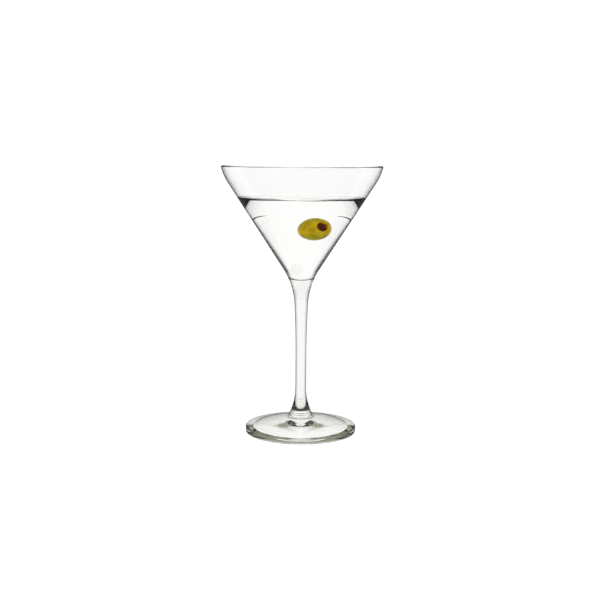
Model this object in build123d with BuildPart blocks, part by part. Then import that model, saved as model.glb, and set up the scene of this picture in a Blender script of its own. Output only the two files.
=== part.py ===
from build123d import *

import os
from math import asin, atan2, cos, degrees, radians, sin, tan

# A cone-bowl cocktail glass, the clear drink in it, and a stuffed olive in the drink.
# Millimetres and degrees, +Z up. The origin is the centre of the plane that the foot rests on.
# The glass is turned about Z, so its parts are outlines of radius against height.
# A lean is the angle between an outline and the vertical.

# Bowl
glass_height = 175.0
rim_radius = 52.3  # outside, at the widest ring of the lip
wall = 1.2
cone_lean = 32.8
lip_lean = 15.0  # the lip stands more upright than the cone
lip_bend = 37.0  # radius of the bend between cone and lip, on the outside
bowl_floor = 101.0  # lowest point inside

# Stem
stem_radius = 3.56
neck_radius = 4.4  # where the slow taper ends and the flare under the bowl begins
neck_lean = 2.8
flare_bend = 48.0  # radius of the flare that runs from the neck into the cone
bowl_weld_lean = 16.0  # the flare's lean at the seam between bowl and stem
spread_bend = 38.0  # radius of the flare at the bottom of the stem
spread_top = 29.0
foot_weld = 11.0  # height of the seam between stem and foot

# Foot
foot_radius = 36.4
foot_slope = 11.5  # of the upper face, from the horizontal
hub_fillet = 3.0
edge_round = 1.2
rest_ring_inner = 30.5
dome_height = 3.5  # of the hollow under the foot

# Drink
drink_level = 154.5
meniscus_bend = 3.2
olive_film = 0.15  # gap between the olive and the drink around it

# Olive: a blunt end that holds the pit bore, and a longer end with a cross cut
olive_radius = 8.0
blunt_length = 8.6
blunt_side_bend = 9.3
long_length = 9.4
long_side_bend = 11.0
bore_radius = 3.3
bore_depth = 14.0
bore_lip = 0.6
pimento_recess = 3.2
cut_length = 6.0
cut_width = 0.5
cut_depth = 2.5
olive_place = (6.5, 0.0, 139.7)
olive_turn = 37.0  # of the bore's mouth, from the front towards the right
olive_tilt = 8.0  # of the bore's mouth, upwards


def heading(lean):
    """Direction of an outline that climbs outwards with this lean."""
    return (sin(radians(lean)), cos(radians(lean)))


def bend_width(bend, lean, other_lean):
    """Change in radius along an arc of this bend between two leans."""
    return abs(bend * (cos(radians(lean)) - cos(radians(other_lean))))


def bend_height(bend, lean, other_lean):
    """Change in height along an arc of this bend between two leans."""
    return abs(bend * (sin(radians(lean)) - sin(radians(other_lean))))


# The outside of the cone: a straight line between the lip's bend and the flare
cone_tan = tan(radians(cone_lean))
cone_sin = sin(radians(cone_lean))
cone_cos = cos(radians(cone_lean))
cone_top_radius = rim_radius - bend_width(lip_bend, lip_lean, cone_lean)
lip_top = glass_height - wall / 2 * (1 + sin(radians(lip_lean)))
cone_top = lip_top - bend_height(lip_bend, lip_lean, cone_lean)
outer_apex = cone_top - cone_top_radius / cone_tan

# The inside of the cone is parallel to it, and ends in a spherical well that touches it
inner_apex = outer_apex + wall / cone_sin
well_bend = (bowl_floor - inner_apex) * cone_sin / (1 - cone_sin)
well_edge_radius = well_bend * cone_cos
well_edge = bowl_floor + well_bend * (1 - cone_sin)

# The flare under the bowl touches the outside of the cone, which gives the neck's height
cone_foot_radius = neck_radius + bend_width(flare_bend, neck_lean, cone_lean)
cone_foot = outer_apex + cone_foot_radius / cone_tan
neck = cone_foot - bend_height(flare_bend, neck_lean, cone_lean)
bowl_weld_radius = neck_radius + bend_width(flare_bend, neck_lean, bowl_weld_lean)
bowl_weld = neck + bend_height(flare_bend, neck_lean, bowl_weld_lean)

# Below the neck the stem thins along a very slow bend until it is straight
taper_bend = (neck_radius - stem_radius) / (1 - cos(radians(neck_lean)))
taper_foot = neck - bend_height(taper_bend, 0, neck_lean)

# The flare at the bottom of the stem
foot_weld_lean = degrees(asin((spread_top - foot_weld) / spread_bend))
foot_weld_radius = stem_radius + bend_width(spread_bend, 0, foot_weld_lean)

# The upper face of the foot
face_lean = 90 - foot_slope
hub_radius = foot_weld_radius + bend_width(hub_fillet, foot_weld_lean, face_lean)
hub_height = foot_weld - bend_height(hub_fillet, foot_weld_lean, face_lean)
face_edge_radius = foot_radius - bend_width(edge_round, 0, face_lean)
face_edge = hub_height - (face_edge_radius - hub_radius) * tan(radians(foot_slope))
dome_bend = (rest_ring_inner**2 + dome_height**2) / (2 * dome_height)

# The ring where the meniscus leaves the wall
meniscus_top = drink_level + meniscus_bend * (1 - cone_sin)
meniscus_radius = (meniscus_top - inner_apex) * cone_tan

# The olive's own plane holds its axis as the plane's Y and its radius as the plane's X
mouth_direction = Vector(
    sin(radians(olive_turn)) * cos(radians(olive_tilt)),
    -cos(radians(olive_turn)) * cos(radians(olive_tilt)),
    sin(radians(olive_tilt)),
)
level_direction = Vector(cos(radians(olive_turn)), sin(radians(olive_turn)), 0)
olive_side = Plane(
    origin=olive_place,
    x_dir=level_direction,
    z_dir=level_direction.cross(mouth_direction),
)
olive_axis = Axis(olive_place, mouth_direction)


def olive_end(length, side_bend):
    """Radius and turn of the ball-shaped end that closes a side of this bend, this far out."""
    end_bend = (olive_radius**2 + length**2 - 2 * olive_radius * side_bend) / (length - side_bend) / 2
    return end_bend, degrees(atan2(side_bend - olive_radius, length - end_bend))


def olive_outline(growth):
    """Half outline of the olive in its own plane, larger all round by growth: four tangent arcs."""
    long_bend, long_turn = olive_end(long_length, long_side_bend)
    blunt_bend, blunt_turn = olive_end(blunt_length, blunt_side_bend)
    long_end = JernArc((0, -long_length - growth), (1, 0), long_bend + growth, long_turn)
    long_side = JernArc(long_end @ 1, long_end % 1, long_side_bend + growth, 90 - long_turn)
    blunt_side = JernArc(long_side @ 1, (0, 1), blunt_side_bend + growth, 90 - blunt_turn)
    blunt_end = JernArc(blunt_side @ 1, blunt_side % 1, blunt_bend + growth, blunt_turn)
    Line(blunt_end @ 1, long_end @ 0)


def olive_cross_plane(along):
    """Plane square to the olive's axis, at this distance from its centre towards the mouth."""
    return Plane(
        origin=Vector(*olive_place) + mouth_direction * along,
        x_dir=level_direction,
        z_dir=mouth_direction,
    )


with BuildPart() as bowl:
    with BuildSketch(Plane.XZ):
        with BuildLine():
            seam = Line((0, bowl_weld), (bowl_weld_radius, bowl_weld))
            flare_turn = cone_lean - bowl_weld_lean
            flare = JernArc(seam @ 1, heading(bowl_weld_lean), flare_bend, -flare_turn)
            side = Line(flare @ 1, (cone_top_radius, cone_top))
            lip_turn = cone_lean - lip_lean
            lip = JernArc(side @ 1, side % 1, lip_bend, lip_turn)
            rim = JernArc(lip @ 1, lip % 1, wall / 2, 180)
            inner_lip = JernArc(rim @ 1, rim % 1, lip_bend - wall, -lip_turn)
            inner_side = Line(inner_lip @ 1, (well_edge_radius, well_edge))
            well = RadiusArc(inner_side @ 1, (0, bowl_floor), well_bend)
            Line(well @ 1, seam @ 0)
        make_face()
    revolve(axis=Axis.Z)

with BuildPart() as stem:
    with BuildSketch(Plane.XZ):
        with BuildLine():
            seam = Line((0, foot_weld), (foot_weld_radius, foot_weld))
            spread = JernArc(seam @ 1, heading(-foot_weld_lean), spread_bend, -foot_weld_lean)
            shank = Line(spread @ 1, (stem_radius, taper_foot))
            taper = JernArc(shank @ 1, shank % 1, taper_bend, -neck_lean)
            flare_turn = bowl_weld_lean - neck_lean
            flare = JernArc(taper @ 1, taper % 1, flare_bend, -flare_turn)
            Polyline(flare @ 1, (0, bowl_weld), seam @ 0)
        make_face()
    revolve(axis=Axis.Z)

with BuildPart() as foot:
    with BuildSketch(Plane.XZ):
        with BuildLine():
            dome = RadiusArc((0, dome_height), (rest_ring_inner, 0), dome_bend)
            rest_ring = Line(dome @ 1, (foot_radius - edge_round, 0))
            lower_edge = JernArc(rest_ring @ 1, (1, 0), edge_round, 90)
            edge_top = face_edge - bend_height(edge_round, 0, face_lean)
            edge = Line(lower_edge @ 1, (foot_radius, edge_top))
            upper_edge = JernArc(edge @ 1, edge % 1, edge_round, face_lean)
            face = Line(upper_edge @ 1, (hub_radius, hub_height))
            hub = JernArc(face @ 1, face % 1, hub_fillet, foot_weld_lean - face_lean)
            Polyline(hub @ 1, (0, foot_weld), dome @ 0)
        make_face()
    revolve(axis=Axis.Z)

with BuildPart() as drink:
    with BuildSketch(Plane.XZ):
        with BuildLine():
            well = RadiusArc((0, bowl_floor), (well_edge_radius, well_edge), -well_bend)
            side = Line(well @ 1, (meniscus_radius, meniscus_top))
            meniscus_turn = 90 - cone_lean
            meniscus = JernArc(side @ 1, heading(cone_lean + 180), meniscus_bend, -meniscus_turn)
            Polyline(meniscus @ 1, (0, drink_level), well @ 0)
        make_face()
    revolve(axis=Axis.Z)
    with BuildSketch(olive_side):
        with BuildLine():
            olive_outline(olive_film)
        make_face()
    revolve(axis=olive_axis, mode=Mode.SUBTRACT)

with BuildPart() as olive:
    with BuildSketch(olive_side):
        with BuildLine():
            olive_outline(0)
        make_face()
    revolve(axis=olive_axis)
    with BuildSketch(olive_cross_plane(blunt_length)):
        Circle(bore_radius)
    extrude(amount=-bore_depth, mode=Mode.SUBTRACT)
    mouth_edge = olive.edges().sort_by(olive_axis)[-1]
    fillet(mouth_edge, bore_lip)
    with BuildSketch(olive_cross_plane(-long_length)):
        Rectangle(cut_length, cut_width)
        Rectangle(cut_width, cut_length)
    extrude(amount=cut_depth, mode=Mode.SUBTRACT)

with BuildPart() as pimento:
    with BuildSketch(olive_cross_plane(blunt_length - pimento_recess)):
        Circle(bore_radius)
    extrude(amount=pimento_recess - bore_depth)

os.makedirs("parts", exist_ok=True)
pieces = {
    "bowl": bowl,
    "stem": stem,
    "foot": foot,
    "drink": drink,
    "olive": olive,
    "pimento": pimento,
}
for name, piece in pieces.items():
    piece.part.label = name
    export_step(piece.part, f"parts/{name}.step")
    print(name, round(piece.part.volume, 1), "mm3")
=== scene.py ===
"""Dresses a cone-bowl cocktail glass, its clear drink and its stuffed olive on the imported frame.

Everything is in metres, +Z up, in the frame's own place. The glass and the drink are lathed from
outlines of radius against height, the olive and its stuffing from outlines about their own axis.
"""

import logging
from dataclasses import dataclass, field
from enum import Enum
from math import asin, atan2, cos, pi, radians, sin, tan

import bpy
import numpy as np
from mathutils import Matrix, Vector


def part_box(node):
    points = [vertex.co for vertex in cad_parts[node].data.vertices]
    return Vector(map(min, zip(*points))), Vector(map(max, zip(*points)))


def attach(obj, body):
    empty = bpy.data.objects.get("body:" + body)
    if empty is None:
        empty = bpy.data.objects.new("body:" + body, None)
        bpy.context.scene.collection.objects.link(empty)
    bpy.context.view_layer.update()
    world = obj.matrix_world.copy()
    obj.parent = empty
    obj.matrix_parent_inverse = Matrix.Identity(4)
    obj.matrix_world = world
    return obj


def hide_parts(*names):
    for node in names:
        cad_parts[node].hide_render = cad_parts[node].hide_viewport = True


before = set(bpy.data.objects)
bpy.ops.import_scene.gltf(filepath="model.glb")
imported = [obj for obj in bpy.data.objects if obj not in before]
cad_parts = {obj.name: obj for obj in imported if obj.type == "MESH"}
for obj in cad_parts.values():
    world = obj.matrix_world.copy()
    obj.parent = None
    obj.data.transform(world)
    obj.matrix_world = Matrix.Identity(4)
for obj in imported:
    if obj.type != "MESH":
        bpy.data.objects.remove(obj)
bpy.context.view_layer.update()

log = logging.getLogger("glass")

Pair = tuple[float, float]
Triple = tuple[float, float, float]
Colour = tuple[float, float, float, float]
Material = bpy.types.Material
Socket = bpy.types.NodeSocket
Feed = Socket | float | Colour

GLASS_INDEX = 1.5  # of refraction
DRINK_INDEX = 1.35
FLESH_GLOW = (1.0, 0.7, 0.1)  # how far red, green and blue light travel in olive flesh


class Body(Enum):
    """The bodies of the frame that pieces ride on."""

    GLASS = "glass"
    GARNISH = "garnish"


class Slot(Enum):
    """The material slots of the record."""

    CLEAR_GLASS = "clear_glass"
    CLEAR_DRINK = "clear_drink"
    OLIVE_FLESH = "olive_flesh"
    PIMENTO = "pimento"


class Surface(Enum):
    """What a span of an outline is. The value is the number of its material."""

    FACE = 0
    SEAM = 1
    CUT = 1  # an olive has no seam, and glass has no cut
    INNER = 2
    WETTED = 3


@dataclass
class Span:
    """One smooth stretch of an outline, sampled in steps.

    Args:
        points: radius and height at each step, one row per step.
        leans: the outline's lean at each step, in radians.
        surface: what the stretch becomes.
    """

    points: np.ndarray
    leans: np.ndarray
    surface: Surface


@dataclass
class Outline:
    """An outline of radius against height, drawn as runs and bends from a starting point.

    The lean is the angle between the direction of travel and the axis, outwards, in radians. The
    solid lies on the left of the direction of travel.

    Args:
        radius: distance from the axis, moved along as the outline grows.
        height: place along the axis, moved along as the outline grows.
        lean: the lean at the growing end.
        spans: the stretches drawn so far.
    """

    radius: float
    height: float
    lean: float
    spans: list[Span] = field(default_factory=list)

    def _add(self, points: np.ndarray, leans: np.ndarray, surface: Surface) -> None:
        """Keeps a stretch and moves the growing end to where it stops.

        Args:
            points: radius and height at each step.
            leans: the lean at each step.
            surface: what the stretch becomes.
        """
        self.spans.append(Span(points, leans, surface))
        self.radius, self.height = (float(value) for value in points[-1])
        self.lean = float(leans[-1])

    def face(self, lean: float) -> "Outline":
        """Turns the growing end on the spot, to a new lean, which leaves a sharp corner."""
        self.lean = lean
        return self

    def run(self, length: float, steps: int = 1, surface: Surface = Surface.FACE) -> "Outline":
        """Adds a straight stretch: the start plus the distance along times the direction.

        Args:
            length: how far it goes.
            steps: into how many equal steps it is cut.
            surface: what it becomes.

        Returns:
            The same outline.
        """
        along = np.linspace(0.0, length, steps + 1)
        points = np.column_stack(
            (self.radius + along * sin(self.lean), self.height + along * cos(self.lean))
        )
        self._add(points, np.full(steps + 1, self.lean), surface)
        return self

    def bend(
        self, bend_radius: float, turn: float, steps: int = 24, surface: Surface = Surface.FACE
    ) -> "Outline":
        """Adds an arc: its points follow from the integral of the direction over the turned lean.

        Args:
            bend_radius: radius of the arc.
            turn: change of the lean, positive outwards.
            steps: into how many equal steps it is cut.
            surface: what it becomes.

        Returns:
            The same outline.
        """
        leans = self.lean + np.linspace(0.0, turn, steps + 1)
        signed = bend_radius if turn > 0 else -bend_radius
        points = np.column_stack(
            (
                self.radius + signed * (cos(self.lean) - np.cos(leans)),
                self.height + signed * (np.sin(leans) - sin(self.lean)),
            )
        )
        self._add(points, leans, surface)
        return self

    def to_axis(self, steps: int, surface: Surface = Surface.FACE) -> "Outline":
        """Closes the outline with a flat disc, straight in to the axis."""
        return self.face(-pi / 2).run(self.radius, steps, surface)


@dataclass(frozen=True)
class Axis:
    """The line that an outline is turned about, with a direction from which turns are counted.

    Args:
        origin: the point at height zero.
        along: direction of growing height.
        first: direction of radius at turn zero.
    """

    origin: Vector
    along: Vector
    first: Vector

    def matrix(self) -> np.ndarray:
        """Three columns: the first direction, the one a quarter turn on, and the axis."""
        return np.array([self.first, self.along.cross(self.first), self.along]).T


UPRIGHT = Axis(Vector((0.0, 0.0, 0.0)), Vector((0.0, 0.0, 1.0)), Vector((1.0, 0.0, 0.0)))


@dataclass
class Lathing:
    """An outline turned about an axis: a closed skin with a pole at each end.

    Args:
        outline: from one point on the axis to another.
        axis: the line it is turned about.
        around: number of steps in one turn.
    """

    outline: Outline
    axis: Axis = UPRIGHT
    around: int = 256

    def turns(self) -> np.ndarray:
        """The angle of each step around the axis."""
        return np.arange(self.around) * (2 * pi / self.around)

    def profile(self) -> np.ndarray:
        """Radius and height of every step of the outline, with shared ends given once."""
        spans = self.outline.spans
        return np.vstack([spans[0].points] + [span.points[1:] for span in spans[1:]])

    def local_grid(self) -> np.ndarray:
        """The skin in the axis's own directions: x is radius times the cosine of the turn, y is
        radius times its sine, and z is the height.

        Returns:
            An array of outline steps by turns by three.
        """
        radius, height = self.profile().T
        turns = self.turns()
        return np.stack(
            (
                np.outer(radius, np.cos(turns)),
                np.outer(radius, np.sin(turns)),
                np.repeat(height[:, None], self.around, axis=1),
            ),
            axis=-1,
        )

    def corner_normals(self) -> np.ndarray:
        """The exact normal at each corner of each face.

        It is the outline's own normal, the cosine of the lean outwards and minus its sine along the
        axis, turned about the axis.

        Returns:
            An array of segments by turns by four corners by three, in the axis's own directions.
        """
        starts = np.concatenate([span.leans[:-1] for span in self.outline.spans])
        ends = np.concatenate([span.leans[1:] for span in self.outline.spans])
        leans = np.stack((starts, starts, ends, ends), axis=1)[:, None, :]
        here = self.turns()
        after = here + 2 * pi / self.around
        turns = np.stack((here, after, after, here), axis=1)[None, :, :]
        outward = np.cos(leans)
        return np.stack(
            (
                outward * np.cos(turns),
                outward * np.sin(turns),
                np.broadcast_to(-np.sin(leans), outward.shape[:1] + turns.shape[1:]),
            ),
            axis=-1,
        )

    def seams(self) -> np.ndarray:
        """For each segment of the outline, the number of its material."""
        return np.concatenate(
            [np.full(len(span.leans) - 1, span.surface.value) for span in self.outline.spans]
        )

    def piece(self, name: str, grid: np.ndarray | None = None) -> bpy.types.Object:
        """Makes the skin's object, with four-sided faces and a fan of triangles at each pole.

        Args:
            name: the piece's name.
            grid: the skin's points where they were moved after lathing; normals then follow them.

        Returns:
            The new object, linked to the scene.
        """
        lathed = grid is None
        points = self.local_grid() if lathed else grid
        rings = len(points)
        flat = np.vstack((points[0, 0], points[1:-1].reshape(-1, 3), points[-1, 0]))
        world = flat @ self.axis.matrix().T + np.array(self.axis.origin)
        number = 1 + np.arange((rings - 2) * self.around).reshape(rings - 2, self.around)
        after = np.roll(number, -1, axis=1)
        last = len(flat) - 1
        quads = np.stack((number[:-1], after[:-1], after[1:], number[1:]), axis=-1)
        first_fan = np.stack((np.zeros(self.around, int), after[0], number[0]), axis=-1)
        last_fan = np.stack((number[-1], after[-1], np.full(self.around, last)), axis=-1)
        faces = first_fan.tolist() + quads.reshape(-1, 4).tolist() + last_fan.tolist()
        mesh = bpy.data.meshes.new(name)
        mesh.from_pydata(world.tolist(), [], faces)
        mesh.polygons.foreach_set("material_index", np.repeat(self.seams(), self.around))
        mesh.shade_smooth()
        if lathed:
            normals = self.corner_normals() @ self.axis.matrix().T
            corners = np.vstack(
                (
                    normals[0][:, [0, 2, 3]].reshape(-1, 3),
                    normals[1:-1].reshape(-1, 3),
                    normals[-1][:, [0, 1, 2]].reshape(-1, 3),
                )
            )
            mesh.normals_split_custom_set(corners.tolist())
        piece = bpy.data.objects.new(name, mesh)
        bpy.context.scene.collection.objects.link(piece)
        return piece


def grey(level: float) -> Colour:
    """A colour with the same share of red, green and blue."""
    return (level, level, level, 1.0)


@dataclass(frozen=True)
class Nodes:
    """A material's node tree, with short ways to add to it.

    Args:
        tree: the node tree.
    """

    tree: bpy.types.NodeTree

    def feed(self, value: Feed, target: Socket) -> None:
        """Gives an input its value: a link from a socket, or else a number or colour.

        Args:
            value: the socket, number or colour.
            target: the input.
        """
        if isinstance(value, Socket):
            self.tree.links.new(value, target)
        else:
            target.default_value = value

    def set(self, node: bpy.types.Node, values: dict[str, Feed]) -> bpy.types.Node:
        """Gives several inputs of a node their values.

        Args:
            node: the node.
            values: the value of each input, by its name.

        Returns:
            The same node.
        """
        for name, value in values.items():
            self.feed(value, node.inputs[name])
        return node

    def add(
        self, kind: str, values: dict[str, Feed] | None = None, **settings: str
    ) -> bpy.types.Node:
        """Adds a node.

        Args:
            kind: the node's type.
            values: the value of each input that is given one, by its name.
            settings: the node's own settings, by name.

        Returns:
            The node.
        """
        node = self.tree.nodes.new(kind)
        for name, setting in settings.items():
            setattr(node, name, setting)
        return self.set(node, values or {})

    def place(self, kind: str = "Object") -> Socket:
        """The shaded place, in the object's own coordinates or in another kind."""
        return self.add("ShaderNodeTexCoord").outputs[kind]

    def part(self, vector: Socket, letter: str) -> Socket:
        """The part of a vector that has this letter: X, Y or Z."""
        return self.add("ShaderNodeSeparateXYZ", {"Vector": vector}).outputs[letter]

    def noise(self, scale: float, detail: float, stretch: Vector | None = None) -> Socket:
        """Adds a noise over the object's own coordinates.

        Args:
            scale: patterns per metre.
            detail: how many finer layers it has.
            stretch: scale of each coordinate, where the pattern is drawn out.

        Returns:
            The noise's value, about one half on average.
        """
        place = self.place()
        if stretch is not None:
            drawn = self.add("ShaderNodeMapping", {"Scale": stretch, "Vector": place})
            place = drawn.outputs["Vector"]
        values = {"Scale": scale, "Detail": detail, "Vector": place}
        return self.add("ShaderNodeTexNoise", values).outputs["Fac"]

    def ramp(self, source: Socket, stops: dict[float, Colour]) -> Socket:
        """Turns a value into colours.

        Args:
            source: the value.
            stops: the colour at each value.

        Returns:
            The colour's socket.
        """
        ramp = self.add("ShaderNodeValToRGB", {"Fac": source})
        elements = ramp.color_ramp.elements
        places = sorted(stops)
        elements[0].position, elements[1].position = places[0], places[-1]
        for place in places[1:-1]:
            elements.new(place)
        for element, place in zip(elements, places):
            element.color = stops[place]
        return ramp.outputs["Color"]

    def mix(self, share: Feed, first: Feed, second: Feed, blend: str = "MIX") -> Socket:
        """Blends two colours.

        Args:
            share: how much of the second shows.
            first: the colour underneath.
            second: the colour laid over it.
            blend: how it is laid over.

        Returns:
            The blended colour's socket.
        """
        mix = self.add("ShaderNodeMix", data_type="RGBA", blend_type=blend)
        for name, value in (("Factor_Float", share), ("A_Color", first), ("B_Color", second)):
            self.feed(value, next(s for s in mix.inputs if s.identifier == name))
        return next(s for s in mix.outputs if s.identifier == "Result_Color")

    def spread(
        self, source: Socket, low: float, high: float, start: Feed = 0.0, stop: Feed = 1.0
    ) -> Socket:
        """Maps a value from one range to another, and holds it there.

        Args:
            source: the value.
            low: result at start.
            high: result at stop.
            start: one end of the value's range.
            stop: its other end.

        Returns:
            The result's socket.
        """
        ends = {"From Min": start, "From Max": stop, "To Min": low, "To Max": high}
        return self.add("ShaderNodeMapRange", {"Value": source, **ends}).outputs["Result"]

    def sum(self, operation: str, first: Feed, second: Feed = 0.0) -> Socket:
        """Works out a sum.

        Args:
            operation: the kind of sum.
            first: its first value.
            second: its second value, where it has one.

        Returns:
            The result's socket.
        """
        math = self.add("ShaderNodeMath", operation=operation)
        for socket, value in zip(math.inputs, (first, second)):
            self.feed(value, socket)
        return math.outputs["Value"]

    def reached(self, counter: Socket, count: int) -> Socket:
        """One where a whole number has reached this count, else zero."""
        return self.sum("GREATER_THAN", counter, count - 0.5)

    def bump(
        self, height: Socket, strength: float, distance: float, under: Socket | None = None
    ) -> Socket:
        """Turns a height into a normal.

        Args:
            height: the height, from zero to one.
            strength: how much of it shows.
            distance: what a height of one is, in metres.
            under: the normal that it is laid on, where there is one.

        Returns:
            The normal's socket.
        """
        values = {"Strength": strength, "Distance": distance, "Height": height}
        if under is not None:
            values["Normal"] = under
        return self.add("ShaderNodeBump", values).outputs["Normal"]


def new_material(name: str) -> tuple[Material, Nodes, bpy.types.Node]:
    """Starts a material with one Principled shader on its output.

    Args:
        name: the material's name.

    Returns:
        The material, its nodes and its shader.
    """
    material = bpy.data.materials.new(name)
    material.use_nodes = True
    shader = next(n for n in material.node_tree.nodes if n.type == "BSDF_PRINCIPLED")
    return material, Nodes(material.node_tree), shader


@dataclass(frozen=True)
class ClearFinish:
    """A clear, polished surface that light passes through.

    Args:
        name: the material's name.
        clear: colour seen square on.
        painted_edge_shade: painted shade, the darker colour where the surface is seen at a glancing
            angle.
        painted_shade_from: how far towards a glancing view the painted shade starts.
        painted_shade_full: how far towards a glancing view the painted shade is full.
        index: index of refraction.
        wave_scale: slow unevenness of the surface, in waves per metre.
        wave_depth: its depth.
        stretch: scale of each coordinate, where the unevenness is drawn out.
        haze: highest roughness, in faint patches.
        patch_scale: scale of the patches, as a share of wave_scale.
        solid_below: heights at which a hollow piece has become solid, and is wholly hollow.
        solid_fade: heights between which the solid colours give way to clear and edge.
        solid_clear: as clear, where the piece is solid, if it differs there.
        solid_painted_shade: as edge, the painted shade where the piece is solid.
        solid_shade_from: as painted_shade_from, where the piece is solid.
        solid_shade_full: as painted_shade_full, where the piece is solid.
    """

    name: str
    clear: Colour
    painted_edge_shade: Colour
    painted_shade_from: float
    painted_shade_full: float = 1.0
    index: float = GLASS_INDEX
    wave_scale: float = 70.0
    wave_depth: float = 0.00001
    stretch: Triple = (1.0, 1.0, 1.0)
    haze: float = 0.012
    patch_scale: float = 0.6
    solid_below: Pair | None = None
    solid_fade: Pair = (0.099, 0.107)
    solid_clear: Colour | None = None
    solid_painted_shade: Colour = (0.35, 0.35, 0.33, 1.0)
    solid_shade_from: float = 0.34
    solid_shade_full: float = 0.50

    def colour(self, nodes: Nodes) -> Socket:
        """The colour of the surface: clear square on, and painted shade at a glancing angle.

        Args:
            nodes: the material's nodes.

        Returns:
            The colour's socket.
        """
        # Painted shade: the colour darkens as the surface is seen at a more glancing angle.
        facing = nodes.add("ShaderNodeLayerWeight", {"Blend": 0.5}).outputs["Facing"]
        if self.solid_below is None:
            share = nodes.spread(facing, 0.0, 1.0, self.painted_shade_from, self.painted_shade_full)
            return nodes.mix(share, self.clear, self.painted_edge_shade)
        height = nodes.part(nodes.place(), "Z")
        # Where the piece is solid, the painted shade has its own colour and angles.
        starts = nodes.spread(height, self.solid_shade_from, self.painted_shade_from, *self.solid_below)
        stops = nodes.spread(height, self.solid_shade_full, self.painted_shade_full, *self.solid_below)
        hollow = nodes.spread(height, 0.0, 1.0, *self.solid_fade)
        clear = nodes.mix(hollow, self.solid_clear or self.clear, self.clear)
        painted_edge_shade = nodes.mix(hollow, self.solid_painted_shade, self.painted_edge_shade)
        return nodes.mix(nodes.spread(facing, 0.0, 1.0, starts, stops), clear, painted_edge_shade)

    def material(self) -> Material:
        """Builds the material: painted shade at glancing angles, faint haze and a slow unevenness.

        Returns:
            The material.
        """
        material, nodes, shader = new_material(self.name)
        wave = nodes.noise(self.wave_scale, detail=1.0, stretch=Vector(self.stretch))
        patches = nodes.noise(self.wave_scale * self.patch_scale, detail=3.0)
        values = {
            "Base Color": self.colour(nodes),
            "IOR": self.index,
            "Transmission Weight": 1.0,
            "Roughness": nodes.spread(patches, low=0.0, high=self.haze, start=0.55, stop=0.85),
            "Normal": nodes.bump(wave, strength=1.0, distance=self.wave_depth),
        }
        nodes.set(shader, values)
        return material


@dataclass(frozen=True)
class SeamFinish:
    """The inside of a fused joint, which light passes as if it weren't there."""

    name: str = "fused_seam"

    def material(self) -> Material:
        """Builds the material, which is wholly transparent.

        Returns:
            The material.
        """
        material, nodes, shader = new_material(self.name)
        output = shader.outputs["BSDF"].links[0].to_node
        clear = nodes.add("ShaderNodeBsdfTransparent").outputs["BSDF"]
        nodes.set(output, {"Surface": clear})
        material.node_tree.nodes.remove(shader)
        return material


@dataclass(frozen=True)
class OliveFinish:
    """Brined olive skin: greenish yellow mottles, painted shade above and below, pores and bruises.

    Args:
        name: the material's name.
        deep: the darkest mottling.
        body: the main colour.
        ripe: the yellowest patches.
        painted_green_shade: the colour of the top and the underside.
        bruise: brown of the bruises.
        pore: pale colour of the pores.
        middle: height of the olive's centre.
        painted_green_shade: painted shade, the darker colour of the top and the underside.
        green_shade_from: how far above or below the centre the painted shade starts, and is full.
        green_shade_most: how much of it shows there.
    """

    name: str = "olive_skin"
    deep: Colour = (0.38, 0.27, 0.001, 1.0)
    body: Colour = (0.60, 0.41, 0.001, 1.0)
    ripe: Colour = (0.84, 0.59, 0.004, 1.0)
    painted_green_shade: Colour = (0.30, 0.32, 0.001, 1.0)
    bruise: Colour = (0.38, 0.15, 0.003, 1.0)
    pore: Colour = (0.85, 0.68, 0.06, 1.0)
    middle: float = 0.1397
    green_shade_from: Pair = (0.003, 0.0085)
    green_shade_most: float = 0.8

    def material(self) -> Material:
        """Builds the material: mottling, painted shade, bruises and pores, with a fine pitted bump.

        Returns:
            The material.
        """
        material, nodes, shader = new_material(self.name)
        mottle = nodes.noise(scale=230.0, detail=4.0)
        skin = nodes.ramp(mottle, {0.32: self.deep, 0.50: self.body, 0.70: self.ripe})
        # Painted shade: darker and greener with distance above or below the middle.
        away = nodes.sum("SUBTRACT", nodes.part(nodes.place(), "Z"), self.middle)
        painted_green_shade = nodes.spread(nodes.sum("ABSOLUTE", away), 0.0, self.green_shade_most, *self.green_shade_from)
        skin = nodes.mix(painted_green_shade, skin, self.painted_green_shade)
        blotch = nodes.noise(scale=140.0, detail=5.0, stretch=Vector((1.3, 0.8, 1.0)))
        bruised = nodes.spread(blotch, low=0.0, high=0.75, start=0.60, stop=0.72)
        skin = nodes.mix(bruised, skin, self.bruise)
        cells = nodes.add("ShaderNodeTexVoronoi", {"Scale": 900.0, "Vector": nodes.place()})
        pit = cells.outputs["Distance"]
        pores = nodes.spread(pit, low=0.55, high=0.0, start=0.12, stop=0.30)
        fine = nodes.bump(nodes.noise(1600.0, detail=3.0), strength=0.25, distance=0.00012)
        values = {
            "Base Color": nodes.mix(pores, skin, self.pore),
            "Roughness": nodes.spread(mottle, low=0.22, high=0.42, start=0.3, stop=0.7),
            "Normal": nodes.bump(pit, strength=0.2, distance=0.00008, under=fine),
            "Specular IOR Level": 0.06,
            "Subsurface Weight": 0.12,
            "Subsurface Scale": 0.0012,
            "Subsurface Radius": FLESH_GLOW,
        }
        nodes.set(shader, values)
        return material


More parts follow.
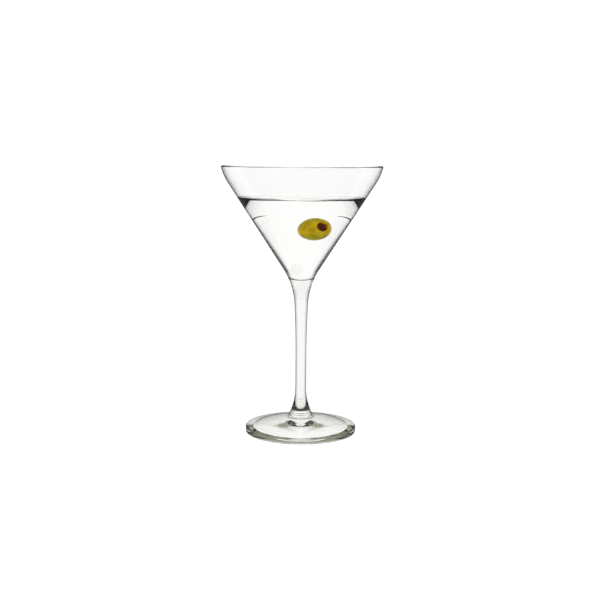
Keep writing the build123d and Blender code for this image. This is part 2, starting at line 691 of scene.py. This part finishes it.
@dataclass(frozen=True)
class OliveFleshFinish:
    """Cut olive flesh in the pit bore: golden, with brown stains.

    Args:
        name: the material's name.
        pale: the main colour.
        stained: colour of the stains.
    """

    name: str = "olive_cut_flesh"
    pale: Colour = (1.0, 0.60, 0.03, 1.0)
    stained: Colour = (0.60, 0.26, 0.01, 1.0)

    def material(self) -> Material:
        """Builds the material: soft stains with a shallow bump.

        Returns:
            The material.
        """
        material, nodes, shader = new_material(self.name)
        stains = nodes.noise(scale=700.0, detail=3.0)
        values = {
            "Base Color": nodes.ramp(stains, {0.35: self.stained, 0.60: self.pale}),
            "Roughness": nodes.spread(stains, low=0.35, high=0.55),
            "Normal": nodes.bump(stains, strength=0.3, distance=0.0001),
            "Specular IOR Level": 0.06,
            "Subsurface Weight": 0.3,
            "Subsurface Scale": 0.0015,
            "Subsurface Radius": FLESH_GLOW,
        }
        nodes.set(shader, values)
        return material


@dataclass(frozen=True)
class PimentoFinish:
    """Soft red pepper, with darker red streaks.

    Args:
        name: the material's name.
        flesh: the main red.
        shade: the dark red of the streaks.
    """

    name: str = "pimento_flesh"
    flesh: Colour = (0.17, 0.012, 0.002, 1.0)
    shade: Colour = (0.04, 0.003, 0.001, 1.0)

    def material(self) -> Material:
        """Builds the material: streaked red with a wet, uneven gloss.

        Returns:
            The material.
        """
        material, nodes, shader = new_material(self.name)
        streaks = nodes.noise(scale=500.0, detail=4.0, stretch=Vector((1.0, 1.0, 3.0)))
        values = {
            "Base Color": nodes.ramp(streaks, {0.35: self.shade, 0.62: self.flesh}),
            "Roughness": nodes.spread(streaks, low=0.2, high=0.45),
            "Normal": nodes.bump(streaks, strength=0.4, distance=0.0002),
            "Specular IOR Level": 0.2,
        }
        nodes.set(shader, values)
        return material


def place_piece(
    piece: bpy.types.Object, body: Body, node: str, finishes: list[Material]
) -> None:
    """Dresses a piece, puts it on its body and lets it stand for its CAD node.

    Args:
        piece: the finished piece.
        body: the body it rides on.
        node: the CAD node that it stands for.
        finishes: its materials, in the order of its faces' numbers.
    """
    for finish in finishes:
        piece.data.materials.append(finish)
    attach(piece, body.value)
    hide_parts(node)
    log.info("%s: %d faces", piece.name, len(piece.data.polygons))


@dataclass
class Glassware:
    """The bowl, stem and foot, each a closed skin, fused at flat seams.

    Heights, widths and seams come from the frame. The fields are what the frame doesn't give.
    """

    wall: float = 0.0012
    cone_lean: float = radians(32.8)
    lip_lean: float = radians(15.0)
    lip_bend: float = 0.037
    bowl_floor: float = 0.101
    stem_radius: float = 0.00356
    neck_radius: float = 0.0044
    neck_lean: float = radians(2.8)
    flare_bend: float = 0.048
    bowl_weld_lean: float = radians(16.0)
    spread_bend: float = 0.038
    spread_top: float = 0.029
    foot_slope: float = radians(11.5)
    hub_fillet: float = 0.003
    edge_round: float = 0.0012
    rest_ring_inner: float = 0.0305
    dome_height: float = 0.0035

    def __post_init__(self) -> None:
        """Works out the outlines' corners from the frame and the fields."""
        bowl_low, bowl_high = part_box("bowl")
        foot_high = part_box("foot")[1]
        self.bowl_weld = bowl_low.z
        self.foot_radius = foot_high.x
        self.foot_weld = foot_high.z
        self.drink_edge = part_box("drink")[1].z
        rim_radius = bowl_high.x - self.wall / 2 * (1 - cos(self.lip_lean))
        lip_width = self.lip_bend * (cos(self.lip_lean) - cos(self.cone_lean))
        self.cone_top_radius = rim_radius - lip_width
        lip_top = bowl_high.z - self.wall / 2 * (1 + sin(self.lip_lean))
        cone_top = lip_top - self.lip_bend * (sin(self.cone_lean) - sin(self.lip_lean))
        outer_apex = cone_top - self.cone_top_radius / tan(self.cone_lean)
        self.inner_apex = outer_apex + self.wall / sin(self.cone_lean)
        flare_width = self.flare_bend * (cos(self.neck_lean) - cos(self.bowl_weld_lean))
        self.bowl_weld_radius = self.neck_radius + flare_width
        self.foot_weld_lean = asin((self.spread_top - self.foot_weld) / self.spread_bend)
        self.foot_weld_radius = self.stem_radius + self.spread_bend * (1 - cos(self.foot_weld_lean))

    def cone_side(self, radius: float, grown: float = 0.0) -> Pair:
        """The well at the bottom of the inside, and where the cone meets it.

        Args:
            radius: radius at which the side ends.
            grown: how far the line stands outside the inner face.

        Returns:
            The well's bend, and the side's length from the well's edge to that radius.
        """
        apex = self.inner_apex - grown / sin(self.cone_lean)
        floor = self.bowl_floor - grown
        well = (floor - apex) * sin(self.cone_lean) / (1 - sin(self.cone_lean))
        return well, (radius - well * cos(self.cone_lean)) / sin(self.cone_lean)

    def bowl(self) -> Outline:
        """The bowl: seam, flare, side, lip, rounded rim, and back down the inside to the well.

        Returns:
            The outline.
        """
        inner_top = self.cone_top_radius - self.wall * cos(self.cone_lean)
        well, inner_side = self.cone_side(inner_top)
        outline = Outline(0.0, self.bowl_weld, pi / 2)
        outline.run(self.bowl_weld_radius, 4, Surface.SEAM).face(self.bowl_weld_lean)
        outline.bend(self.flare_bend, self.cone_lean - self.bowl_weld_lean)
        outline.run((self.cone_top_radius - outline.radius) / sin(self.cone_lean), 24)
        outline.bend(self.lip_bend, self.lip_lean - self.cone_lean)
        outline.bend(self.wall / 2, -pi)
        lip_turn = self.cone_lean - self.lip_lean
        outline.bend(self.lip_bend - self.wall, lip_turn, surface=Surface.INNER)
        dry_side = (outline.height - self.drink_edge) / cos(self.cone_lean)
        outline.run(dry_side, 8, Surface.INNER)
        outline.run(inner_side - dry_side, 24, Surface.WETTED)
        return outline.bend(well, pi / 2 - self.cone_lean, 32, Surface.WETTED)

    def stem(self) -> Outline:
        """The stem: spread at the foot, straight shank, slow taper and the flare to the bowl.

        Returns:
            The outline.
        """
        neck_bend = (self.neck_radius - self.stem_radius) / (1 - cos(self.neck_lean))
        flare_height = self.flare_bend * (sin(self.bowl_weld_lean) - sin(self.neck_lean))
        taper_foot = self.bowl_weld - flare_height - neck_bend * sin(self.neck_lean)
        outline = Outline(0.0, self.foot_weld, pi / 2)
        outline.run(self.foot_weld_radius, 4, Surface.SEAM).face(-self.foot_weld_lean)
        outline.bend(self.spread_bend, self.foot_weld_lean, 48)
        outline.run(taper_foot - outline.height, 12)
        outline.bend(neck_bend, self.neck_lean)
        outline.bend(self.flare_bend, self.bowl_weld_lean - self.neck_lean)
        return outline.to_axis(4, Surface.SEAM)

    def foot(self) -> Outline:
        """The foot: domed hollow, rest ring, rounded outer rim, sloping face and hub.

        Returns:
            The outline.
        """
        dome = (self.rest_ring_inner**2 + self.dome_height**2) / (2 * self.dome_height)
        dome_lean = asin(self.rest_ring_inner / dome)
        face_lean = pi / 2 - self.foot_slope
        outline = Outline(0.0, self.dome_height, pi / 2)
        outline.bend(dome, dome_lean, 32).face(pi / 2)
        outline.run(self.foot_radius - self.edge_round - outline.radius, 6)
        outline.bend(self.edge_round, -pi / 2, 16)
        hub_width = self.hub_fillet * (cos(self.foot_weld_lean) - cos(face_lean))
        hub_radius = self.foot_weld_radius + hub_width
        hub_height = self.foot_weld - self.hub_fillet * (sin(face_lean) - sin(self.foot_weld_lean))
        edge_radius = self.foot_radius - self.edge_round * (1 - cos(face_lean))
        edge_height = hub_height - (edge_radius - hub_radius) * tan(self.foot_slope)
        edge_top = edge_height - self.edge_round * sin(face_lean)
        outline.run(edge_top - outline.height, 4)
        outline.bend(self.edge_round, -face_lean, 16)
        outline.run((outline.radius - hub_radius) / cos(self.foot_slope), 32)
        outline.bend(self.hub_fillet, face_lean - self.foot_weld_lean, 32)
        return outline.to_axis(4, Surface.SEAM)

    def build(self) -> None:
        """Builds and dresses the three glass pieces."""
        # The darker colours for glancing views below are painted shade.
        blown = ClearFinish(
            name="blown_glass",
            clear=(0.99, 0.99, 0.985, 1.0),
            painted_edge_shade=(0.02, 0.02, 0.017, 1.0),
            painted_shade_from=0.69,
            painted_shade_full=0.86,
            solid_below=(0.100, 0.145),
            solid_clear=(0.90, 0.90, 0.885, 1.0),
        ).material()
        inner = ClearFinish(
            name="inner_glass",
            clear=(0.93, 0.935, 0.93, 1.0),
            painted_edge_shade=(0.76, 0.76, 0.75, 1.0),
            painted_shade_from=0.6,
            wave_depth=0.000005,
        ).material()
        wetted = ClearFinish(
            name="wetted_glass",
            index=GLASS_INDEX / DRINK_INDEX,
            clear=(0.995, 0.995, 0.99, 1.0),
            painted_edge_shade=(0.95, 0.95, 0.94, 1.0),
            painted_shade_from=0.6,
            wave_depth=0.000005,
            solid_below=(0.104, 0.114),
            solid_painted_shade=(0.08, 0.08, 0.06, 1.0),
            solid_fade=(0.104, 0.112),
            solid_shade_from=0.45,
            solid_shade_full=0.75,
        ).material()
        drawn = ClearFinish(
            name="drawn_glass",
            clear=(0.90, 0.90, 0.885, 1.0),
            painted_edge_shade=(0.06, 0.06, 0.052, 1.0),
            painted_shade_from=0.15,
            painted_shade_full=0.6,
            wave_scale=250.0,
            stretch=(1.0, 1.0, 0.1),
        ).material()
        pressed = ClearFinish(
            name="pressed_glass",
            clear=(0.97, 0.975, 0.95, 1.0),
            painted_edge_shade=(0.66, 0.69, 0.62, 1.0),
            painted_shade_from=0.75,
            wave_scale=90.0,
            wave_depth=0.00002,
        ).material()
        seam = SeamFinish().material()
        for name, outline, finishes in (
            ("bowl", self.bowl(), [blown, seam, inner, wetted]),
            ("stem", self.stem(), [drawn, seam]),
            ("foot", self.foot(), [pressed, seam]),
        ):
            piece = Lathing(outline).piece(f"{name}_glass")
            place_piece(piece, Body.GLASS, name, finishes)


@dataclass
class Drink:
    """The clear drink, with a meniscus that climbs the wall.

    Args:
        vessel: the glass that holds it.
        level: height of the flat surface.
        meniscus_bend: radius of the meniscus.
        soak: how far its side stands inside the glass wall, so that no air shows between them.
    """

    vessel: Glassware
    level: float = 0.1545
    meniscus_bend: float = 0.0032
    soak: float = 0.00003

    def outline(self) -> Outline:
        """The drink: up the well and the side, then along the meniscus to the level surface.

        Returns:
            The outline.
        """
        lean = self.vessel.cone_lean
        apex = self.vessel.inner_apex - self.soak / sin(lean)
        top = self.level + self.meniscus_bend * (1 - sin(lean))
        well, side = self.vessel.cone_side((top - apex) * tan(lean), self.soak)
        outline = Outline(0.0, self.vessel.bowl_floor - self.soak, pi / 2)
        outline.bend(well, lean - pi / 2, 32, Surface.SEAM)
        outline.run(side, 32, Surface.SEAM).face(lean - pi)
        outline.bend(self.meniscus_bend, pi / 2 - lean, 32)
        return outline.to_axis(32)

    def build(self) -> None:
        """Builds and dresses the drink."""
        # Its darker colour for glancing views is painted shade.
        finish = ClearFinish(
            name="clear_spirit",
            index=DRINK_INDEX,
            clear=(0.995, 0.995, 0.985, 1.0),
            painted_edge_shade=(0.93, 0.93, 0.91, 1.0),
            painted_shade_from=0.7,
            wave_scale=60.0,
            wave_depth=0.000004,
            haze=0.004,
        ).material()
        piece = Lathing(self.outline()).piece("drink_clear")
        finishes = [finish, SeamFinish().material()]
        place_piece(piece, Body.GLASS, "drink", finishes)


@dataclass
class Olive:
    """The pitted olive and its stuffing.

    Heights along the olive's axis are counted from its widest ring, towards the mouth of the bore.
    The fields from dent_depth on are what is pressed out of round. A turn is in radians per metre.
    """

    centre: Triple = (0.0065, 0.0, 0.1397)
    turn: float = radians(37.0)
    tilt: float = radians(8.0)
    radius: float = 0.008
    blunt_length: float = 0.0086
    blunt_side_bend: float = 0.0093
    long_length: float = 0.0094
    long_side_bend: float = 0.011
    bore_radius: float = 0.0033
    bore_depth: float = 0.014
    bore_lip: float = 0.0006
    pimento_recess: float = 0.0032
    cut_length: float = 0.006
    cut_width: float = 0.0005
    cut_depth: float = 0.0016
    pimento_gap: float = 0.00004
    pimento_round: float = 0.0009
    dent_depth: float = 0.00012
    dent_turns: Triple = (620.0, 496.0, 372.0)
    dent_starts: Triple = (1.0, 2.0, 0.0)
    cut_sharpness: float = 4.0
    fold_depth: float = 0.0007
    fold_width: float = 0.0004
    fold_sway: float = 0.0005
    fold_turn: float = 1100.0
    fold_share: float = 0.7
    slant_turns: Pair = (900.0, 700.0)

    def axis(self) -> Axis:
        """The olive's axis, from its widest ring towards the mouth of the bore.

        Returns:
            The axis.
        """
        level = cos(self.tilt)
        along = Vector((sin(self.turn) * level, -cos(self.turn) * level, sin(self.tilt)))
        return Axis(Vector(self.centre), along, Vector((cos(self.turn), sin(self.turn), 0.0)))

    def end(self, length: float, side_bend: float) -> Pair:
        """The ball-shaped end of the olive, which touches the arc of its side from the inside.

        Args:
            length: distance from the widest ring to the end.
            side_bend: the side's bend.

        Returns:
            The end's bend, and how far it turns before it meets the side.
        """
        bend = (self.radius**2 + length**2 - 2 * self.radius * side_bend) / (length - side_bend) / 2
        return bend, atan2(side_bend - self.radius, length - bend)

    def skin(self) -> Outline:
        """The olive: long end, sides, blunt end, rounded lip, and down the bore to its floor.

        Returns:
            The outline.
        """
        long_bend, long_turn = self.end(self.long_length, self.long_side_bend)
        blunt_bend, blunt_turn = self.end(self.blunt_length, self.blunt_side_bend)
        lip_centre = self.bore_radius + self.bore_lip
        lip_turn = asin(lip_centre / (blunt_bend - self.bore_lip))
        outline = Outline(0.0, -self.long_length, pi / 2)
        outline.bend(long_bend, -long_turn, 96)
        outline.bend(self.long_side_bend, long_turn - pi / 2, 40)
        outline.bend(self.blunt_side_bend, blunt_turn - pi / 2, 40)
        outline.bend(blunt_bend, lip_turn - blunt_turn)
        outline.bend(self.bore_lip, -pi / 2 - lip_turn, 12)
        bore_length = outline.height - self.blunt_length + self.bore_depth
        outline.run(bore_length, 24, Surface.CUT)
        return outline.to_axis(6, Surface.CUT)

    def plug(self) -> Outline:
        """The stuffing: flat bottom, side against the bore and a rounded top.

        Returns:
            The outline.
        """
        bottom = self.blunt_length - self.bore_depth
        top = self.blunt_length - self.pimento_recess
        outline = Outline(0.0, bottom + self.pimento_gap, pi / 2)
        outline.run(self.bore_radius - self.pimento_gap, 6).face(0.0)
        outline.run(top - self.pimento_round - outline.height, 16)
        outline.bend(self.pimento_round, -pi / 2, 12)
        return outline.to_axis(40)

    def dented(self, grid: np.ndarray) -> np.ndarray:
        """Moves the skin inwards by slow waves, and by a cross cut at the long end.

        A dent is a product of sines of the three coordinates. The cut is a smooth trench along
        each of two lines, deepest on the axis, and it moves the skin along the axis.

        Args:
            grid: the lathed skin.

        Returns:
            The moved skin.
        """
        x, y, z = np.moveaxis(grid, -1, 0)
        away = np.hypot(x, y)
        slow = np.prod(np.sin(grid * self.dent_turns + self.dent_starts), axis=-1)
        dent = self.dent_depth * (slow - 1) / 2 * (away > self.bore_radius + self.bore_lip)
        moved = grid.copy()
        moved[..., :2] *= (1 + dent / np.maximum(away, self.radius / 4))[..., None]
        half_cut = self.cut_length / 2
        trench = np.maximum(
            np.exp(-self.cut_sharpness * (x / self.cut_width) ** 2) * (np.abs(y) < half_cut),
            np.exp(-self.cut_sharpness * (y / self.cut_width) ** 2) * (np.abs(x) < half_cut),
        )
        reach = np.clip(1 - (away / half_cut) ** 2, 0, 1) * (z < -self.long_length / 2)
        moved[..., 2] += trench * self.cut_depth * reach
        return moved

    def folded(self, grid: np.ndarray) -> np.ndarray:
        """Presses a wandering fold and a slight slant into the top of the stuffing.

        Args:
            grid: the lathed plug.

        Returns:
            The moved plug.
        """
        x, y, z = np.moveaxis(grid, -1, 0)
        top = self.blunt_length - self.pimento_recess
        share = np.clip((z - top + self.pimento_round) / self.pimento_round, 0, 1)
        middle = self.fold_sway * np.sin(y * self.fold_turn)
        fold = np.exp(-(((x - middle) / self.fold_width) ** 2))
        across, along = self.slant_turns
        slant = (1 + np.sin(x * across + y * along)) / 2
        depth = self.fold_share * fold + (1 - self.fold_share) * slant
        moved = grid.copy()
        moved[..., 2] -= share * self.fold_depth * depth
        return moved

    def build(self) -> None:
        """Builds and dresses the olive and its stuffing."""
        skin = Lathing(self.skin(), self.axis())
        olive = skin.piece("olive_flesh", self.dented(skin.local_grid()))
        finishes = [OliveFinish().material(), OliveFleshFinish().material()]
        place_piece(olive, Body.GARNISH, "olive", finishes)
        plug = Lathing(self.plug(), self.axis(), around=128)
        pimento = plug.piece("pimento_strip", self.folded(plug.local_grid()))
        finishes = [PimentoFinish().material()]
        place_piece(pimento, Body.GARNISH, "pimento", finishes)


@dataclass
class Studio:
    """A white sweep under soft light, seen from slightly above the rim.

    Args:
        distance: from the axis of the glass to the camera.
        eye_height: height of the camera.
        sideways: how far the camera stands to the right of the axis.
        pitch: how far it looks down.
        roll: how far it leans.
        lens: focal length in millimetres, on a sensor 36 millimetres wide.
        floor_radius: of the floor.
        floor_gap: between the floor and the glass, which keeps their faces apart.
        floor_depth: thickness of the floor.
        floor_colour: of the floor.
        floor_glow: light that the floor gives off where it is seen, which makes it white.
        painted_pool_glow: painted light, added to the floor under the foot, for what the glass
            passes on to it.
        painted_pool_radius: distance from the axis, on the floor, where it starts to fade and is
            gone.
        soft_light: brightness of the soft light from below, from the sides and from above.
        sweep: brightness of the sweep.
        room: brightness of the room that outer faces reflect.
        drink_passes: number of surfaces passed from which a ray counts as one in the drink.
        drink_bounces: number of bounces from which the drink shows deep_drink.
        glass_bounces: number of bounces from which glass alone shows deep_glass.
        deep_drink: brightness of what shows after several bounces in the drink.
        deep_glass: colour of what shows after several bounces in glass alone.
        unlit: how much of the light is left on the unlit side, for light bounced in glass alone.
        unlit_drink: the same for light bounced in the drink.
        unlit_side: share of a direction that points to the back, wholly unlit and lit.
        unlit_top: share of a direction that points up, wholly unlit and lit.
        unlit_floor: distance behind the axis, on the floor, wholly unlit and lit.
    """

    distance: float = 0.717
    eye_height: float = 0.1868
    sideways: float = -0.00084
    pitch: float = radians(7.865)
    roll: float = radians(0.352)
    lens: float = 66.3
    floor_radius: float = 12.0
    floor_gap: float = 0.0001
    floor_depth: float = 0.001
    floor_colour: Colour = (0.8, 0.8, 0.8, 1.0)
    floor_glow: float = 0.07
    painted_pool_glow: float = 0.45
    painted_pool_radius: Pair = (0.034, 0.045)
    soft_light: Triple = (0.5, 0.8, 1.5)
    sweep: float = 1.05
    room: float = 0.10
    drink_passes: int = 3
    drink_bounces: int = 3
    glass_bounces: int = 4
    deep_drink: float = 0.01
    deep_glass: Colour = (0.42, 0.43, 0.34, 1.0)
    unlit: float = 0.01
    unlit_drink: float = 0.75
    unlit_side: Pair = (-0.1, 0.1)
    unlit_top: Pair = (0.4, 0.55)
    unlit_floor: Pair = (0.0, 0.06)

    def camera(self) -> None:
        """Places the camera."""
        data = bpy.data.cameras.new("camera")
        data.lens = self.lens
        data.clip_start = 0.01
        camera = bpy.data.objects.new("camera", data)
        camera.matrix_world = (
            Matrix.Translation((self.sideways, -self.distance, self.eye_height))
            @ Matrix.Rotation(pi / 2 - self.pitch, 4, "X")
            @ Matrix.Rotation(self.roll, 4, "Z")
        )
        bpy.context.scene.collection.objects.link(camera)
        bpy.context.scene.camera = camera

    def seen(self, nodes: Nodes) -> Socket:
        """One where a ray comes from the camera, straight or by way of gloss or glass, else zero.

        Args:
            nodes: the tree that asks.

        Returns:
            The value's socket.
        """
        path = nodes.add("ShaderNodeLightPath").outputs
        direct = nodes.sum("MAXIMUM", path["Is Glossy Ray"], path["Is Transmission Ray"])
        direct = nodes.sum("MAXIMUM", path["Is Camera Ray"], direct)
        scattered = nodes.reached(path["Diffuse Depth"], 1)
        return nodes.sum("MULTIPLY", direct, nodes.sum("SUBTRACT", 1.0, scattered))

    def surroundings(self, nodes: Nodes, front: Socket) -> Socket:
        """How bright the studio looks by the path that a ray took inside the glass.

        Light that only passes through comes from the white sweep. Light that bounces inside the
        glass loses some brightness on the way, and is dark where it comes from the front, which is
        the unlit side of the studio. The gloss of outer faces shows a dim room.

        Args:
            nodes: the tree that asks.
            front: one on the unlit side, else zero.

        Returns:
            The colour's socket.
        """
        path = nodes.add("ShaderNodeLightPath").outputs
        bounces, passes = path["Glossy Depth"], path["Transmission Depth"]
        gloss = nodes.reached(bounces, 1)
        wet = nodes.reached(passes, self.drink_passes)
        deep_in_drink = nodes.reached(bounces, self.drink_bounces)
        in_drink = nodes.mix(deep_in_drink, grey(self.sweep), grey(self.deep_drink))
        deep_in_glass = nodes.reached(bounces, self.glass_bounces)
        in_glass = nodes.mix(deep_in_glass, grey(self.sweep), self.deep_glass)
        bounced = nodes.mix(wet, in_glass, in_drink)
        shade = nodes.mix(wet, grey(self.unlit), grey(self.unlit_drink))
        bounced = nodes.mix(front, bounced, nodes.mix(1.0, bounced, shade, "MULTIPLY"))
        look = nodes.mix(gloss, grey(self.sweep), bounced)
        outside = nodes.sum("SUBTRACT", 1.0, nodes.reached(passes, 1))
        return nodes.mix(nodes.sum("MULTIPLY", outside, gloss), look, grey(self.room))

    def world(self) -> None:
        """The studio's look where it is seen, and soft light from above elsewhere."""
        world = bpy.data.worlds.new("studio")
        world.use_nodes = True
        bpy.context.scene.world = world
        nodes = Nodes(world.node_tree)
        background = next(n for n in world.node_tree.nodes if n.type == "BACKGROUND")
        direction = nodes.place("Generated")
        upward = nodes.part(direction, "Z")
        height = nodes.spread(upward, 0.0, 1.0, start=-1.0, stop=1.0)
        below, beside, above = (grey(level) for level in self.soft_light)
        soft = nodes.ramp(height, {0.0: below, 0.5: beside, 1.0: above})
        front = nodes.spread(nodes.part(direction, "Y"), 1.0, 0.0, *self.unlit_side)
        low = nodes.spread(upward, 1.0, 0.0, *self.unlit_top)
        look = self.surroundings(nodes, nodes.sum("MULTIPLY", front, low))
        nodes.set(background, {"Color": nodes.mix(self.seen(nodes), soft, look)})

    def floor(self) -> None:
        """A wide disc, pale, and white where it is seen, with painted light under the foot."""
        outline = Outline(0.0, -self.floor_gap - self.floor_depth, pi / 2)
        outline.run(self.floor_radius, 2).face(0.0).run(self.floor_depth).to_axis(12)
        floor = Lathing(outline, around=64).piece("floor")
        material, nodes, shader = new_material("white_sweep")
        place = nodes.place()
        front = nodes.spread(nodes.part(place, "Y"), 1.0, 0.0, *self.unlit_floor)
        look = self.surroundings(nodes, front)
        away = nodes.add("ShaderNodeVectorMath", {"Vector": place}, operation="LENGTH")
        # Painted light: the floor gives off more under the foot, fading out away from the axis.
        painted_pool = nodes.spread(away.outputs["Value"], self.painted_pool_glow, 0.0, *self.painted_pool_radius)
        white_and_painted_glow = nodes.sum("ADD", painted_pool, self.floor_glow)
        values = {
            "Base Color": nodes.mix(1.0, look, self.floor_colour, "MULTIPLY"),
            "Roughness": 0.9,
            "Specular IOR Level": 0.0,
            "Emission Color": look,
            "Emission Strength": nodes.sum("MULTIPLY", self.seen(nodes), white_and_painted_glow),
        }
        nodes.set(shader, values)
        floor.data.materials.append(material)

    def build(self) -> None:
        """Sets up the camera, the light and the floor."""
        self.camera()
        self.world()
        self.floor()
        scene = bpy.context.scene
        scene.view_settings.view_transform = "Standard"
        scene.cycles.max_bounces = 32
        scene.cycles.transmission_bounces = 32
        scene.cycles.glossy_bounces = 16
        scene.cycles.transparent_max_bounces = 16


def main() -> None:
    """Builds the studio, the glass, the drink and the olive."""
    logging.basicConfig(level=logging.INFO, format="%(message)s")
    Studio().build()
    glassware = Glassware()
    glassware.build()
    Drink(glassware).build()
    Olive().build()


if __name__ == "__main__":
    main()
